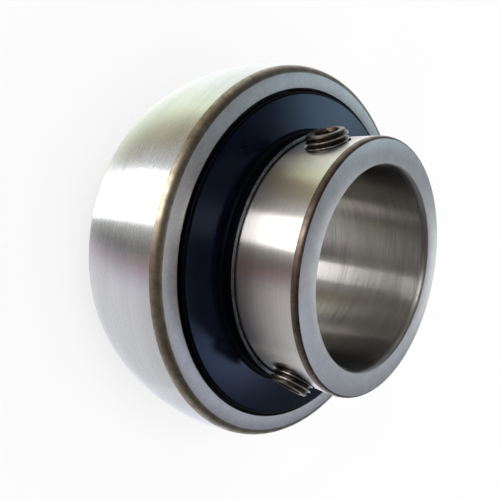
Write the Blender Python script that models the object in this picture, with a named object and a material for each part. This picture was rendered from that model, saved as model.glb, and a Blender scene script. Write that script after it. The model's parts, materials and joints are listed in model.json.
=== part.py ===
"""Insert bearing for a 30 mm shaft: spherical outer ring, wide inner ring with two set screws.

The axis is +Z and the rear face of the inner ring stands on z = 0, with the set screws at the top.
Nine balls roll between the rings in a riveted ribbon cage, behind a seal and a flinger on each side.
"""

import math

import bmesh
import bpy

# Rings, measured from the bore outwards
BORE_DIAMETER = 0.030
INNER_WALL = 0.0041
INNER_RACE_DEPTH = 0.0015
BALL_DIAMETER = 0.009525
BALL_COUNT = 9
BALL_PLAY = 0.00015
OUTER_RACE_DEPTH = 0.0018
OUTER_WALL = 0.003575
RACE_CONFORMITY = 0.52

# Widths, measured along the axis from the middle of the raceways
SHORT_SIDE = 0.0159
LONG_SIDE = 0.0222
OUTER_WIDTH = 0.018

# Corners of the rings
OUTER_CORNER_AXIAL = 0.0011
OUTER_CORNER_RADIAL = 0.0012
INNER_CORNER_AXIAL = 0.0009
INNER_CORNER_RADIAL = 0.00045
BORE_CORNER_AXIAL = 0.0011
BORE_CORNER_RADIAL = 0.0004

# Grease holes through the outer ring, beside the rear of its raceway
GREASE_HOLE_DIAMETER = 0.0016
GREASE_HOLE_ANGLES = (math.radians(30), math.radians(150))

# Ribbon cage and its rivets
CAGE_THICKNESS = 0.0005
CAGE_WIDTH = 0.0042
CAGE_JOINT_GAP = 0.0003
POCKET_CLEARANCE = 0.0003
RIVET_DIAMETER = 0.0014
RIVET_CLEARANCE = 0.00015
RIVET_HEAD_DIAMETER = 0.0026
RIVET_HEAD_HEIGHT = 0.0005

# Seals: a steel plate snapped into the outer ring, and a rubber lip on its inner edge
CAGE_TO_SEAL = 0.0004
SEAL_STEP = 0.00093
SEAL_GROOVE_DEPTH = 0.0005
SEAL_GROOVE_WIDTH = 0.0011
SEAL_THICKNESS = 0.0005
SEAL_RIM = 0.0007
SEAL_CLEARANCE = 0.0002
LIP_HEIGHT = 0.0016
LIP_BODY = 0.0008
LIP_LENGTH = 0.0009
LIP_THICKNESS = 0.0005
LIP_CLEARANCE = 0.0002
LIP_BOND = 0.00015

# Flingers: a pressed disc over the recess of the outer ring, its rim turned down into the recess
FLINGER_THICKNESS = 0.0005
FLINGER_CLEARANCE = 0.0003
FLINGER_GAP = 0.00045
FLINGER_RISE = 0.00055
FLINGER_REACH = 0.0004
FLINGER_SHOULDER = 0.00045
FLINGER_BEND = 0.0007
COLLAR_HEIGHT = 0.0028

# Set screws, M6, a third of a turn apart, between the front flinger's collar and the inner ring's face;
# of the length that they leave free there, SCREW_SHARE lies on the collar's side
SCREW_DIAMETER = 0.006
SCREW_LENGTH = 0.0055
SCREW_PROUD = 0.0016
SCREW_SHARE = 0.4
SCREW_CLEARANCE = 0.00015
SCREW_CHAMFER = 0.0005
SOCKET_WIDTH = 0.003
SOCKET_DEPTH = 0.0026
CUP_DIAMETER = 0.003
CUP_DEPTH = 0.0008
SCREW_ANGLES = (math.radians(-150), math.radians(-30))

# Fineness of the round forms
RING_SEGMENTS = 48
SCREW_SEGMENTS = 16
RIVET_SEGMENTS = 8
BALL_SEGMENTS = 12
BALL_RINGS = 8
SPHERE_STEPS = 6
RACE_STEPS = 6
OUTER_CORNER_STEPS = 2
INNER_CORNER_STEPS = 2
BEND_STEPS = 2
POCKET_STEPS = 8
SMOOTH_ANGLE = math.radians(30)
MERGE_DISTANCE = 0.000001

# Sizes that follow from the ones above
BALL_RADIUS = BALL_DIAMETER / 2
INNER_RADIUS = BORE_DIAMETER / 2 + INNER_WALL
INNER_RACE_BOTTOM = INNER_RADIUS - INNER_RACE_DEPTH
PITCH_RADIUS = INNER_RACE_BOTTOM + BALL_PLAY + BALL_RADIUS
OUTER_RACE_BOTTOM = PITCH_RADIUS + BALL_RADIUS + BALL_PLAY
OUTER_LAND_RADIUS = OUTER_RACE_BOTTOM - OUTER_RACE_DEPTH
SPHERE_RADIUS = OUTER_RACE_BOTTOM + OUTER_WALL
RACE_RADIUS = RACE_CONFORMITY * BALL_DIAMETER
HALF_WIDTH = OUTER_WIDTH / 2
POCKET_RADIUS = BALL_RADIUS + POCKET_CLEARANCE
SEAL_SEAT = POCKET_RADIUS + CAGE_THICKNESS + CAGE_TO_SEAL
RECESS_RADIUS = OUTER_LAND_RADIUS + SEAL_STEP
GROOVE_RADIUS = RECESS_RADIUS + SEAL_GROOVE_DEPTH
COLLAR_TOP = HALF_WIDTH + COLLAR_HEIGHT
SCREW_HEIGHT = COLLAR_TOP + SCREW_DIAMETER / 2 + SCREW_SHARE * (LONG_SIDE - COLLAR_TOP - SCREW_DIAMETER)
RACE_HEIGHT = SHORT_SIDE
BALL_STEP = 2 * math.pi / BALL_COUNT


def clear_scene():
    for old in list(bpy.data.objects):
        bpy.data.objects.remove(old, do_unlink=True)


def make_material(name, colour, metallic, roughness):
    material = bpy.data.materials.new(name)
    material.use_nodes = True
    shader = material.node_tree.nodes["Principled BSDF"]
    shader.inputs["Base Color"].default_value = (*colour, 1.0)
    shader.inputs["Metallic"].default_value = metallic
    shader.inputs["Roughness"].default_value = roughness
    material.diffuse_color = (*colour, 1.0)
    return material


def make_axis(name, location, parent=None):
    """An empty on a joint's axis, which the pieces of a moving body hang on."""
    empty = bpy.data.objects.new(name, None)
    empty.empty_display_size = BALL_RADIUS
    empty.location = location
    empty.parent = parent
    bpy.context.collection.objects.link(empty)
    return empty


def add_object(name, mesh, material, parent=None):
    piece = bpy.data.objects.new(name, mesh)
    if material is not None and not mesh.materials:
        mesh.materials.append(material)
    piece.parent = parent
    bpy.context.collection.objects.link(piece)
    return piece


def arc(centre, radii, start, end, steps):
    """Points on an ellipse's arc from one angle to another, both ends included."""
    points = []
    for index in range(steps + 1):
        angle = start + (end - start) * index / steps
        points.append((centre[0] + radii[0] * math.cos(angle), centre[1] + radii[1] * math.sin(angle)))
    return points


def bend(first, corner, last, steps):
    """A smooth turn between two points, leaving and arriving along the lines that meet at the corner."""
    points = []
    for index in range(steps + 1):
        share = index / steps
        weights = ((1 - share) ** 2, 2 * share * (1 - share), share**2)
        points.append(
            tuple(sum(w * p[k] for w, p in zip(weights, (first, corner, last))) for k in (0, 1))
        )
    return points


def turned_mesh(name, profile, segments):
    """A mesh turned about Z from (radius, height) points; one that starts on the axis ends there too."""
    shape = bmesh.new()
    points = [shape.verts.new((radius, 0.0, height)) for radius, height in profile]
    on_axis = profile[0][0] == 0.0
    next_points = points[1:] if on_axis else points[1:] + points[:1]
    edges = [shape.edges.new(pair) for pair in zip(points, next_points)]
    bmesh.ops.spin(
        shape,
        geom=points + edges,
        cent=(0.0, 0.0, 0.0),
        axis=(0.0, 0.0, 1.0),
        angle=2 * math.pi,
        steps=segments,
        use_duplicate=False,
    )
    bmesh.ops.remove_doubles(shape, verts=shape.verts, dist=MERGE_DISTANCE)
    bmesh.ops.recalc_face_normals(shape, faces=shape.faces)
    mesh = bpy.data.meshes.new(name)
    shape.to_mesh(mesh)
    shape.free()
    mesh.shade_smooth()
    mesh.set_sharp_from_angle(angle=SMOOTH_ANGLE)
    return mesh


def turned(name, profile, material, parent):
    """A ring turned from a closed outline."""
    return add_object(name, turned_mesh(name, profile, RING_SEGMENTS), material, parent)


def round_cutter(name, radius, length, segments, location, rotation=(0, 0, 0), parent=None):
    mesh = bpy.data.meshes.new(name)
    shape = bmesh.new()
    bmesh.ops.create_cone(
        shape, cap_ends=True, segments=segments, radius1=radius, radius2=radius, depth=length
    )
    shape.to_mesh(mesh)
    shape.free()
    cutter = add_object(name, mesh, None, parent)
    cutter.location = location
    cutter.rotation_euler = rotation
    cutter.hide_render = True
    cutter.display_type = "WIRE"
    return cutter


def cut(piece, cutter):
    modifier = piece.modifiers.new("Cut " + cutter.name, "BOOLEAN")
    modifier.operation = "DIFFERENCE"
    modifier.solver = "EXACT"
    modifier.object = cutter


def mirrored(profile):
    """The same outline on the other side of the raceway's middle, still running the right way."""
    return [(radius, -height) for radius, height in reversed(profile)]


def race_arc(bottom, land):
    """The groove of a raceway, from its front edge to its rear edge."""
    side = 1 if land > bottom else -1
    centre = bottom + side * RACE_RADIUS
    half_angle = math.acos(side * (centre - land) / RACE_RADIUS)
    return arc((centre, 0.0), (-side * RACE_RADIUS, RACE_RADIUS), half_angle, -half_angle, RACE_STEPS)


def outer_ring_profile():
    rim_height = HALF_WIDTH - OUTER_CORNER_AXIAL
    rim_angle = math.asin(rim_height / SPHERE_RADIUS)
    rim = (SPHERE_RADIUS * math.cos(rim_angle), rim_height)
    face_edge = (rim[0] - OUTER_CORNER_RADIAL, HALF_WIDTH)
    crossing = (rim[0] - OUTER_CORNER_AXIAL * math.tan(rim_angle), HALF_WIDTH)
    top_corner = bend(face_edge, crossing, rim, OUTER_CORNER_STEPS)
    outside = arc((0.0, 0.0), (SPHERE_RADIUS, SPHERE_RADIUS), rim_angle, -rim_angle, SPHERE_STEPS)
    front_seat = [
        (OUTER_LAND_RADIUS, SEAL_SEAT),
        (GROOVE_RADIUS, SEAL_SEAT),
        (GROOVE_RADIUS, SEAL_SEAT + SEAL_GROOVE_WIDTH - SEAL_GROOVE_DEPTH),
        (RECESS_RADIUS, SEAL_SEAT + SEAL_GROOVE_WIDTH),
        (RECESS_RADIUS, HALF_WIDTH),
    ]
    race = race_arc(OUTER_RACE_BOTTOM, OUTER_LAND_RADIUS)
    return (
        top_corner[:-1]
        + outside
        + mirrored(top_corner[:-1])
        + mirrored(front_seat)
        + list(reversed(race))
        + front_seat
    )


def inner_ring_profile():
    """Heights are from the middle of the raceway; the long side with the set screws is at the top."""
    outer_corner = (INNER_CORNER_RADIAL, INNER_CORNER_AXIAL)
    bore_corner = (BORE_CORNER_RADIAL, BORE_CORNER_AXIAL)
    outer_centre = INNER_RADIUS - INNER_CORNER_RADIAL
    bore_centre = BORE_DIAMETER / 2 + BORE_CORNER_RADIAL
    quarter = math.pi / 2
    steps = INNER_CORNER_STEPS
    corners = [
        arc((outer_centre, LONG_SIDE - INNER_CORNER_AXIAL), outer_corner, quarter, 0, steps),
        race_arc(INNER_RACE_BOTTOM, INNER_RADIUS),
        arc((outer_centre, INNER_CORNER_AXIAL - SHORT_SIDE), outer_corner, 0, -quarter, steps),
        arc((bore_centre, BORE_CORNER_AXIAL - SHORT_SIDE), bore_corner, 3 * quarter, 2 * quarter, steps),
        arc((bore_centre, LONG_SIDE - BORE_CORNER_AXIAL), bore_corner, 2 * quarter, quarter, steps),
    ]
    return [point for corner in corners for point in corner]


def seal_plate_profile():
    """A flat plate whose outer rim is pressed up into a bead, seated on the groove's inner wall."""
    bottom = SEAL_SEAT + SEAL_CLEARANCE
    inner_edge = INNER_RADIUS + LIP_HEIGHT
    rim_edge = GROOVE_RADIUS - SEAL_CLEARANCE
    return [
        (rim_edge - SEAL_RIM, bottom + SEAL_RIM),
        (rim_edge, bottom + SEAL_THICKNESS / 2),
        (rim_edge, bottom),
        (inner_edge, bottom),
        (inner_edge, bottom + SEAL_THICKNESS),
        (rim_edge - 2 * SEAL_RIM, bottom + SEAL_THICKNESS),
    ]


def seal_lip_profile():
    """A rubber bead bonded to the plate's inner edge, with a lip that slants out to the inner ring."""
    bottom = SEAL_SEAT + SEAL_CLEARANCE
    top = bottom + SEAL_THICKNESS + LIP_BOND
    bonded = INNER_RADIUS + LIP_HEIGHT - LIP_BOND
    tip = INNER_RADIUS + LIP_CLEARANCE
    return [
        (bonded, top),
        (bonded, bottom),
        (bonded - LIP_BODY, bottom),
        (tip, top + LIP_LENGTH - LIP_THICKNESS),
        (tip, top + LIP_LENGTH),
    ]


def flinger_profile():
    """A disc whose rim turns down into the recess and whose inner edge turns up into a collar."""
    collar_inside = INNER_RADIUS + FLINGER_CLEARANCE
    collar_outside = collar_inside + FLINGER_THICKNESS
    rim_outside = RECESS_RADIUS - FLINGER_GAP
    rim_inside = rim_outside - FLINGER_THICKNESS
    rim_bottom = HALF_WIDTH - FLINGER_REACH
    disc_top = HALF_WIDTH + FLINGER_RISE
    bend_centre = (collar_outside + FLINGER_BEND, disc_top + FLINGER_BEND)
    outer_bend = arc(bend_centre, (FLINGER_BEND, FLINGER_BEND), math.pi, 1.5 * math.pi, BEND_STEPS)
    inner_bend_radius = FLINGER_BEND + FLINGER_THICKNESS
    inner_bend = arc(bend_centre, (inner_bend_radius, inner_bend_radius), 1.5 * math.pi, math.pi, BEND_STEPS)
    return (
        [(collar_outside, COLLAR_TOP)]
        + outer_bend
        + [
            (rim_outside - FLINGER_SHOULDER, disc_top),
            (rim_outside, disc_top - FLINGER_SHOULDER),
            (rim_outside, rim_bottom),
            (rim_inside, rim_bottom),
            (rim_inside, disc_top - FLINGER_THICKNESS),
        ]
        + inner_bend
        + [(collar_inside, COLLAR_TOP)]
    )


def make_outer_ring(material, parent):
    ring = turned("outer_ring", outer_ring_profile(), material, parent)
    race_edge = math.sqrt(RACE_RADIUS**2 - (RACE_RADIUS - OUTER_RACE_DEPTH) ** 2)
    hole_height = -(race_edge + SEAL_SEAT) / 2
    hole_length = SPHERE_RADIUS - OUTER_LAND_RADIUS + 2 * GREASE_HOLE_DIAMETER
    hole_middle = (SPHERE_RADIUS + OUTER_LAND_RADIUS) / 2
    for number, angle in enumerate(GREASE_HOLE_ANGLES, start=1):
        place = (hole_middle * math.cos(angle), hole_middle * math.sin(angle), hole_height)
        turn = (0.0, math.pi / 2, angle)
        radius = GREASE_HOLE_DIAMETER / 2
        name = f"grease_hole_cutter_{number}"
        cut(ring, round_cutter(name, radius, hole_length, RIVET_SEGMENTS, place, turn, parent))


def make_inner_ring(material, parent):
    ring = turned("inner_ring", inner_ring_profile(), material, parent)
    radius = SCREW_DIAMETER / 2 + SCREW_CLEARANCE
    length = 2 * INNER_WALL
    middle = BORE_DIAMETER / 2 + INNER_WALL / 2
    for number, angle in enumerate(SCREW_ANGLES, start=1):
        place = (middle * math.cos(angle), middle * math.sin(angle), SCREW_HEIGHT)
        turn = (0.0, math.pi / 2, angle)
        name = f"screw_hole_cutter_{number}"
        cut(ring, round_cutter(name, radius, length, SCREW_SEGMENTS, place, turn, parent))


def ball_mesh():
    mesh = bpy.data.meshes.new("ball")
    shape = bmesh.new()
    bmesh.ops.create_uvsphere(
        shape, u_segments=BALL_SEGMENTS, v_segments=BALL_RINGS, radius=BALL_RADIUS
    )
    shape.to_mesh(mesh)
    shape.free()
    mesh.shade_smooth()
    return mesh


def make_balls(material, parent):
    mesh = ball_mesh()
    for index in range(BALL_COUNT):
        ball = add_object(f"ball_{index + 1}", mesh, material, parent)
        angle = index * BALL_STEP
        ball.location = (PITCH_RADIUS * math.cos(angle), PITCH_RADIUS * math.sin(angle), 0.0)


def pocket_angle(radius):
    """Half the angle that a pocket takes up, seen from the bearing's axis, at one radius of the cage."""
    edge = POCKET_RADIUS**2 - (CAGE_JOINT_GAP / 2) ** 2
    return math.acos((radius**2 + PITCH_RADIUS**2 - edge) / (2 * radius * PITCH_RADIUS))


def ribbon_point(shape, ball_angle, offset, radius):
    """A point of the ribbon: pressed up to the pocket's sphere round the ball, and flat beside it."""
    from_ball = radius**2 + PITCH_RADIUS**2 - 2 * radius * PITCH_RADIUS * math.cos(offset)
    height = math.sqrt(max(POCKET_RADIUS**2 - from_ball, (CAGE_JOINT_GAP / 2) ** 2))
    angle = ball_angle + offset
    return shape.verts.new((radius * math.cos(angle), radius * math.sin(angle), height))


def ribbon_mesh():
    """The pressed ribbon of the front half of the cage, before it has its thickness."""
    shape = bmesh.new()
    radii = [PITCH_RADIUS + side * CAGE_WIDTH / 2 for side in (-1, 0, 1)]
    shares = [math.sin(math.pi * (step / POCKET_STEPS - 0.5)) for step in range(POCKET_STEPS + 1)]
    columns = []
    for index in range(BALL_COUNT):
        angle = index * BALL_STEP
        for share in shares:
            offsets = [share * pocket_angle(radius) for radius in radii]
            columns.append([ribbon_point(shape, angle, *pair) for pair in zip(offsets, radii)])
        columns.append([ribbon_point(shape, angle, BALL_STEP / 2, radius) for radius in radii])
    for index, column in enumerate(columns):
        after = columns[(index + 1) % len(columns)]
        for row in range(len(radii) - 1):
            shape.faces.new((column[row], column[row + 1], after[row + 1], after[row]))
    mesh = bpy.data.meshes.new("cage_ribbon")
    shape.to_mesh(mesh)
    shape.free()
    mesh.shade_smooth()
    mesh.set_sharp_from_angle(angle=SMOOTH_ANGLE)
    return mesh


def rivet_place(index):
    angle = (index + 0.5) * BALL_STEP
    return (PITCH_RADIUS * math.cos(angle), PITCH_RADIUS * math.sin(angle), 0.0)


def make_cage(material, parent):
    ribbon = ribbon_mesh()
    halves = []
    for name, turn in (("cage_front", 0.0), ("cage_rear", math.pi)):
        half = add_object(name, ribbon, material, parent)
        half.rotation_euler = (turn, 0.0, 0.0)
        sheet = half.modifiers.new("Sheet", "SOLIDIFY")
        sheet.thickness = CAGE_THICKNESS
        sheet.offset = 1.0
        sheet.use_even_offset = True
        halves.append(half)
    radius = RIVET_DIAMETER / 2 + RIVET_CLEARANCE
    length = 4 * (CAGE_JOINT_GAP + CAGE_THICKNESS)
    for index in range(BALL_COUNT):
        name = f"rivet_hole_cutter_{index + 1}"
        cutter = round_cutter(name, radius, length, RIVET_SEGMENTS, rivet_place(index), parent=parent)
        for half in halves:
            cut(half, cutter)


def rivet_profile():
    """A shank through both halves of the cage, with a domed head at each end."""
    shank = RIVET_DIAMETER / 2
    seat = CAGE_JOINT_GAP / 2 + CAGE_THICKNESS + RIVET_CLEARANCE
    head = (RIVET_HEAD_DIAMETER / 2, RIVET_HEAD_HEIGHT)
    dome = [(0.0, seat + RIVET_HEAD_HEIGHT)] + arc((0.0, seat), head, math.pi / 3, 0.0, 1)
    foot = mirrored(dome)
    return dome + [(shank, seat), (shank, -seat)] + foot


def make_rivets(material, parent):
    mesh = turned_mesh("rivet", rivet_profile(), RIVET_SEGMENTS)
    for index in range(BALL_COUNT):
        rivet = add_object(f"cage_rivet_{index + 1}", mesh, material, parent)
        rivet.location = rivet_place(index)


def make_side_pair(name, profile, material, parent):
    """The same turned piece on the front of the bearing and, mirrored, on its rear."""
    turned(name + "_front", profile, material, parent)
    turned(name + "_rear", mirrored(profile), material, parent)


def screw_profile():
    """A set screw that points down, its outer end at z = 0 with a chamfer, its lower end a cup point."""
    radius = SCREW_DIAMETER / 2
    cup_radius = CUP_DIAMETER / 2
    point_chamfer = radius - cup_radius
    return [
        (0.0, 0.0),
        (radius - SCREW_CHAMFER, 0.0),
        (radius, -SCREW_CHAMFER),
        (radius, point_chamfer - SCREW_LENGTH),
        (cup_radius, -SCREW_LENGTH),
        (0.0, CUP_DEPTH - SCREW_LENGTH),
    ]


def make_screws(material, parent):
    mesh = turned_mesh("set_screw", screw_profile(), SCREW_SEGMENTS)
    socket_radius = SOCKET_WIDTH / math.sqrt(3)
    for number, angle in enumerate(SCREW_ANGLES, start=1):
        screw = add_object(f"set_screw_{number}", mesh, material, parent)
        reach = INNER_RADIUS + SCREW_PROUD
        screw.location = (reach * math.cos(angle), reach * math.sin(angle), SCREW_HEIGHT)
        screw.rotation_euler = (0.0, math.pi / 2, angle)
        name = f"hex_socket_cutter_{number}"
        cut(screw, round_cutter(name, socket_radius, 2 * SOCKET_DEPTH, 6, (0.0, 0.0, 0.0), parent=screw))


def main():
    clear_scene()
    ring_steel = make_material("ring_steel", (0.62, 0.61, 0.60), 1.0, 0.28)
    ball_steel = make_material("ball_steel", (0.72, 0.72, 0.73), 1.0, 0.08)
    cage_steel = make_material("cage_steel", (0.48, 0.47, 0.45), 1.0, 0.40)
    seal_steel = make_material("seal_steel", (0.35, 0.35, 0.36), 1.0, 0.45)
    seal_rubber = make_material("seal_rubber", (0.02, 0.02, 0.02), 0.0, 0.80)
    flinger_black = make_material("flinger_black", (0.015, 0.02, 0.03), 0.6, 0.35)
    screw_steel = make_material("screw_steel", (0.16, 0.13, 0.11), 1.0, 0.35)

    middle = make_axis("bearing_axis", (0.0, 0.0, RACE_HEIGHT))
    inner_axis = make_axis("inner_axis", (0.0, 0.0, 0.0), middle)
    cage_axis = make_axis("cage_axis", (0.0, 0.0, 0.0), middle)

    make_outer_ring(ring_steel, middle)
    make_side_pair("seal_plate", seal_plate_profile(), seal_steel, middle)
    make_side_pair("seal_lip", seal_lip_profile(), seal_rubber, middle)
    make_inner_ring(ring_steel, inner_axis)
    make_side_pair("flinger", flinger_profile(), flinger_black, inner_axis)
    make_screws(screw_steel, inner_axis)
    make_cage(cage_steel, cage_axis)
    make_rivets(cage_steel, cage_axis)
    make_balls(ball_steel, cage_axis)


main()
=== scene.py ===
"""The looks of the insert bearing: its ground, coated and moulded surfaces, the studio and the camera.

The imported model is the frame. Every node is replaced by a finer mesh of the same sizes, in metres.
Most are turned about the bearing's axis, +Z, and the set screws are in its upper end.
"""

import json
import math

import bmesh
import bpy
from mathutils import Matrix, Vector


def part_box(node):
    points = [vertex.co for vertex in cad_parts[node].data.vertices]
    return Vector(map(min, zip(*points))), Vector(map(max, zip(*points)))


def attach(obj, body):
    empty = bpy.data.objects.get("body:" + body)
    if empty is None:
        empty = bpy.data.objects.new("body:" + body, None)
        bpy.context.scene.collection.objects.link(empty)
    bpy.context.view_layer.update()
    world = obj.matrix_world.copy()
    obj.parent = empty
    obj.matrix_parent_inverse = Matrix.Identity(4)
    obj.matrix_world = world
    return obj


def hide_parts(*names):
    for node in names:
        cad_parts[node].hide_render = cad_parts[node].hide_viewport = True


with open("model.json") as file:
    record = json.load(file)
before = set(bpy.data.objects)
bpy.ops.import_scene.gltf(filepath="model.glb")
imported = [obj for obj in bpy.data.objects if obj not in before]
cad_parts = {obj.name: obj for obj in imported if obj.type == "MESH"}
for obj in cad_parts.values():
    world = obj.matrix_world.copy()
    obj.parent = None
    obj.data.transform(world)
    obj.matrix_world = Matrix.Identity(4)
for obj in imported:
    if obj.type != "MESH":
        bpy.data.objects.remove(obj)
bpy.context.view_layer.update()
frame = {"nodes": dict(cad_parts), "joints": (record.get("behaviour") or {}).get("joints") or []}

# Sizes that the frame gives
RING_LOW, RING_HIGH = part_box("outer_ring")
SPHERE_RADIUS = RING_HIGH.x
HALF_WIDTH = (RING_HIGH.z - RING_LOW.z) / 2
MIDDLE = (RING_HIGH.z + RING_LOW.z) / 2
SLEEVE_LOW, SLEEVE_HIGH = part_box("inner_ring")
INNER_RADIUS = SLEEVE_HIGH.x
SHORT_SIDE = MIDDLE - SLEEVE_LOW.z
LONG_SIDE = SLEEVE_HIGH.z - MIDDLE
BALL_LOW, BALL_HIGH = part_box("ball_1")
BALL_RADIUS = (BALL_HIGH.z - BALL_LOW.z) / 2
PITCH_RADIUS = (BALL_HIGH.x + BALL_LOW.x) / 2
BALL_COUNT = sum(name.startswith("ball_") for name in frame["nodes"])
BALL_STEP = 2 * math.pi / BALL_COUNT
FLINGER_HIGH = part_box("flinger_front")[1]
FLINGER_RADIUS = FLINGER_HIGH.x
COLLAR_TOP = FLINGER_HIGH.z - MIDDLE
PLATE_LOW, PLATE_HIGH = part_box("seal_plate_front")
PLATE_RADIUS = PLATE_HIGH.x
PLATE_BOTTOM = PLATE_LOW.z - MIDDLE
PLATE_RIM_TOP = PLATE_HIGH.z - MIDDLE

# Rings
BORE_RADIUS = 0.015
INNER_RACE_DEPTH = 0.0015
OUTER_RACE_DEPTH = 0.0018
BALL_PLAY = 0.00015
RACE_CONFORMITY = 1.04
OUTER_CORNER_AXIAL = 0.0011
OUTER_CORNER_RADIAL = 0.0012
INNER_CORNER_AXIAL = 0.0009
INNER_CORNER_RADIAL = 0.00045
BORE_CORNER_AXIAL = 0.0011
BORE_CORNER_RADIAL = 0.0004
SEAL_STEP = 0.00093
SEAL_GROOVE_DEPTH = 0.0005
SEAL_GROOVE_WIDTH = 0.0011
SEAL_CLEARANCE = 0.0002
EDGE_BREAK = 0.00012
GREASE_HOLE_RADIUS = 0.0008
GREASE_HOLE_ANGLES = (math.radians(30), math.radians(150))
GREASE_HOLE_MOUTH = 0.00025

# Cage and rivets
CAGE_THICKNESS = 0.0005
CAGE_WIDTH = 0.0042
CAGE_JOINT_GAP = 0.0003
POCKET_CLEARANCE = 0.0003
RIBBON_FALL = 4
RIVET_RADIUS = 0.0007
RIVET_CLEARANCE = 0.00015
RIVET_HEAD_RADIUS = 0.0013
RIVET_HEAD_HEIGHT = 0.0005

# Seals
SEAL_THICKNESS = 0.0005
SEAL_RIM = 0.0007
LIP_HEIGHT = 0.0016
LIP_BODY = 0.0008
LIP_LENGTH = 0.0009
LIP_THICKNESS = 0.0005
LIP_CLEARANCE = 0.0002
LIP_BOND = 0.00015
RUBBER_EDGE = 0.0002
SHEET_EDGE = 0.00008

# Flingers
FLINGER_THICKNESS = 0.0005
FLINGER_CLEARANCE = 0.0003
FLINGER_RISE = 0.00055
FLINGER_REACH = 0.0004
FLINGER_SHOULDER = 0.00045
FLINGER_BEND = 0.0007

# Set screws, M6 x 0.75
SCREW_RADIUS = 0.003
SCREW_LENGTH = 0.0055
SCREW_PROUD = 0.0016
SCREW_CLEARANCE = 0.00015
SCREW_CHAMFER = 0.0005
SCREW_HOLE_MOUTH = 0.0002
THREAD_PITCH = 0.00075
THREAD_DEPTH = 0.00046
THREAD_CREST = 0.14
THREAD_ROOT = 0.22
SOCKET_SIDES = 6
SOCKET_WIDTH = 0.003
SOCKET_DEPTH = 0.0026
SOCKET_MOUTH = 0.0003
CUP_RADIUS = 0.0015
CUP_DEPTH = 0.0008
SCREW_FINISHES = ("oxide", "socket")

# Fineness of the meshes
RING_SEGMENTS = 256
SMALL_SEGMENTS = 48
SPHERE_STEPS = 40
RACE_STEPS = 24
CORNER_STEPS = 12
EDGE_STEPS = 3
BEND_STEPS = 12
THREAD_SEGMENTS = 96
THREAD_ROWS = 22
POCKET_STEPS = 28
RIBBON_ROWS = 8
BALL_SEGMENTS = 64
BALL_RINGS = 40
EASED_TURN = math.radians(25)
EASED_SHARE = 0.4
SMOOTH_ANGLE = math.radians(32)
SAME_POINT = 1e-9

# Sizes that follow from the ones above
INNER_RACE_BOTTOM = INNER_RADIUS - INNER_RACE_DEPTH
OUTER_RACE_BOTTOM = PITCH_RADIUS + BALL_RADIUS + BALL_PLAY
OUTER_LAND_RADIUS = OUTER_RACE_BOTTOM - OUTER_RACE_DEPTH
RACE_RADIUS = RACE_CONFORMITY * BALL_RADIUS
RECESS_RADIUS = OUTER_LAND_RADIUS + SEAL_STEP
GROOVE_RADIUS = RECESS_RADIUS + SEAL_GROOVE_DEPTH
SEAL_SEAT = PLATE_BOTTOM - SEAL_CLEARANCE
POCKET_RADIUS = BALL_RADIUS + POCKET_CLEARANCE
COLLAR_INSIDE = INNER_RADIUS + FLINGER_CLEARANCE
COLLAR_OUTSIDE = COLLAR_INSIDE + FLINGER_THICKNESS

# Colours of the finishes, linear, each pair the darkest and the lightest of one finish
GROUND_DARK = (0.605, 0.61, 0.63, 1)
GROUND_LIGHT = (0.71, 0.715, 0.735, 1)
SLEEVE_DARK = (0.62, 0.585, 0.55, 1)
SLEEVE_LIGHT = (0.72, 0.69, 0.66, 1)
# Bore steel darkened as painted shade inside the bore; the bore's chamfers take it too
SHADED_BORE_DARK = (0.35, 0.335, 0.315, 1)
SHADED_BORE_LIGHT = (0.46, 0.445, 0.425, 1)
FACE_DARK = (0.46, 0.46, 0.465, 1)
FACE_LIGHT = (0.63, 0.63, 0.635, 1)
SCALE_DARK = (0.20, 0.16, 0.115, 1)
SCALE_LIGHT = (0.40, 0.355, 0.27, 1)
BURNT_DARK = (0.080, 0.056, 0.046, 1)
BURNT_LIGHT = (0.175, 0.135, 0.112, 1)
OXIDE_DARK = (0.030, 0.024, 0.019, 1)
OXIDE_LIGHT = (0.115, 0.090, 0.066, 1)
RUBBED = (0.46, 0.43, 0.39, 1)
# Turned steel darkened as painted shade in the recesses, grooves and holes
SHADED_TURNED_DARK = (0.15, 0.14, 0.13, 1)
SHADED_TURNED_LIGHT = (0.3, 0.29, 0.27, 1)
STAMPED_DARK = (0.4, 0.39, 0.37, 1)
STAMPED_LIGHT = (0.58, 0.57, 0.55, 1)
SHEARED_DARK = (0.16, 0.18, 0.20, 1)
SHEARED_LIGHT = (0.34, 0.38, 0.40, 1)
PHOSPHATE_DARK = (0.12, 0.12, 0.125, 1)
PHOSPHATE_LIGHT = (0.22, 0.22, 0.22, 1)
RUBBER_DARK = (0.011, 0.011, 0.012, 1)
RUBBER_LIGHT = (0.022, 0.021, 0.021, 1)
BLUED_DARK = (0.0008, 0.0011, 0.0034, 1)
BLUED_LIGHT = (0.0018, 0.0026, 0.0080, 1)
BLUED_SHEEN = (0.42, 0.62, 1.0, 1)
# Near-black coat as painted shade on the flinger's bend, shoulder and rim
SHADED_COAT_DARK = (0.0005, 0.0006, 0.0010, 1)
SHADED_COAT_LIGHT = (0.0011, 0.0013, 0.0022, 1)
DUST = (0.30, 0.31, 0.32, 1)

# Marks on the surfaces
MM_PER_METRE = 1000.0
MICROMETRE = 1e-6
BRUSHED_TURN = 0.25
ROUGHNESS_SWING = 0.02
NICK_STRENGTH = 0.5
DUST_STRENGTH = 0.3
DOT_CORE = 0.4
PATCH_SCALE = 0.37
PATCH_EDGE = 0.05

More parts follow.
